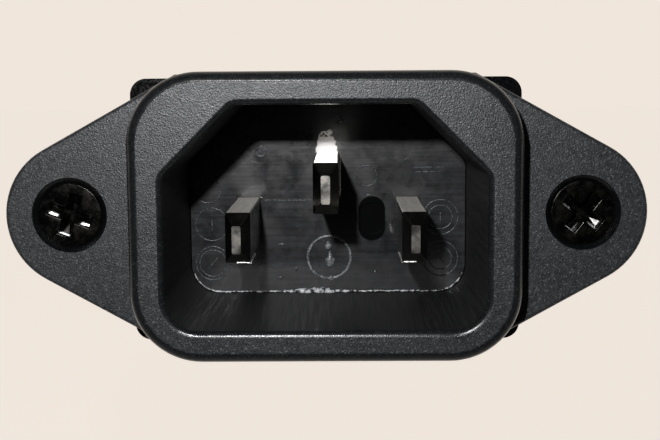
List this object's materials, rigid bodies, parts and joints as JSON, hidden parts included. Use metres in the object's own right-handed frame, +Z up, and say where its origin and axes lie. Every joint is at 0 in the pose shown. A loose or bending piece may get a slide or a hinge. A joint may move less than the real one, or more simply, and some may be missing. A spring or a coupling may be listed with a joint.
{
  "type": "c14 panel inlet",
  "caption": "Black rectangular mains inlet with a keyed plug recess, blade contacts, a flange with screw ears and solder-or-push-on tabs behind.",
  "frame": {"origin": "midway between the two screw axes, on the rear face of the flange, which is the face that lies on the panel", "axes": "+X along the line of the screws, to the right as the plug meets the socket; +Y into the panel, the way the plug goes in; +Z up, towards the earth contact"},
  "size_m": [0.05, 0.0311, 0.022],
  "materials": {
    "shroud_plastic": "fine spark-eroded moulding grain",
    "carrier_plastic": "smooth, a little glossy, with ejector and date marks",
    "plated_contact": "bright nickel plate",
    "black_steel": "black oxide, oiled"
  },
  "bodies": {
    "root": {"front_shroud": "shroud_plastic", "contact_carrier": "carrier_plastic", "left_contact_pin": "plated_contact", "right_contact_pin": "plated_contact", "earth_contact_pin": "plated_contact", "mounting_screw_left": "black_steel", "mounting_screw_right": "black_steel"}
  },
  "joints": []
}
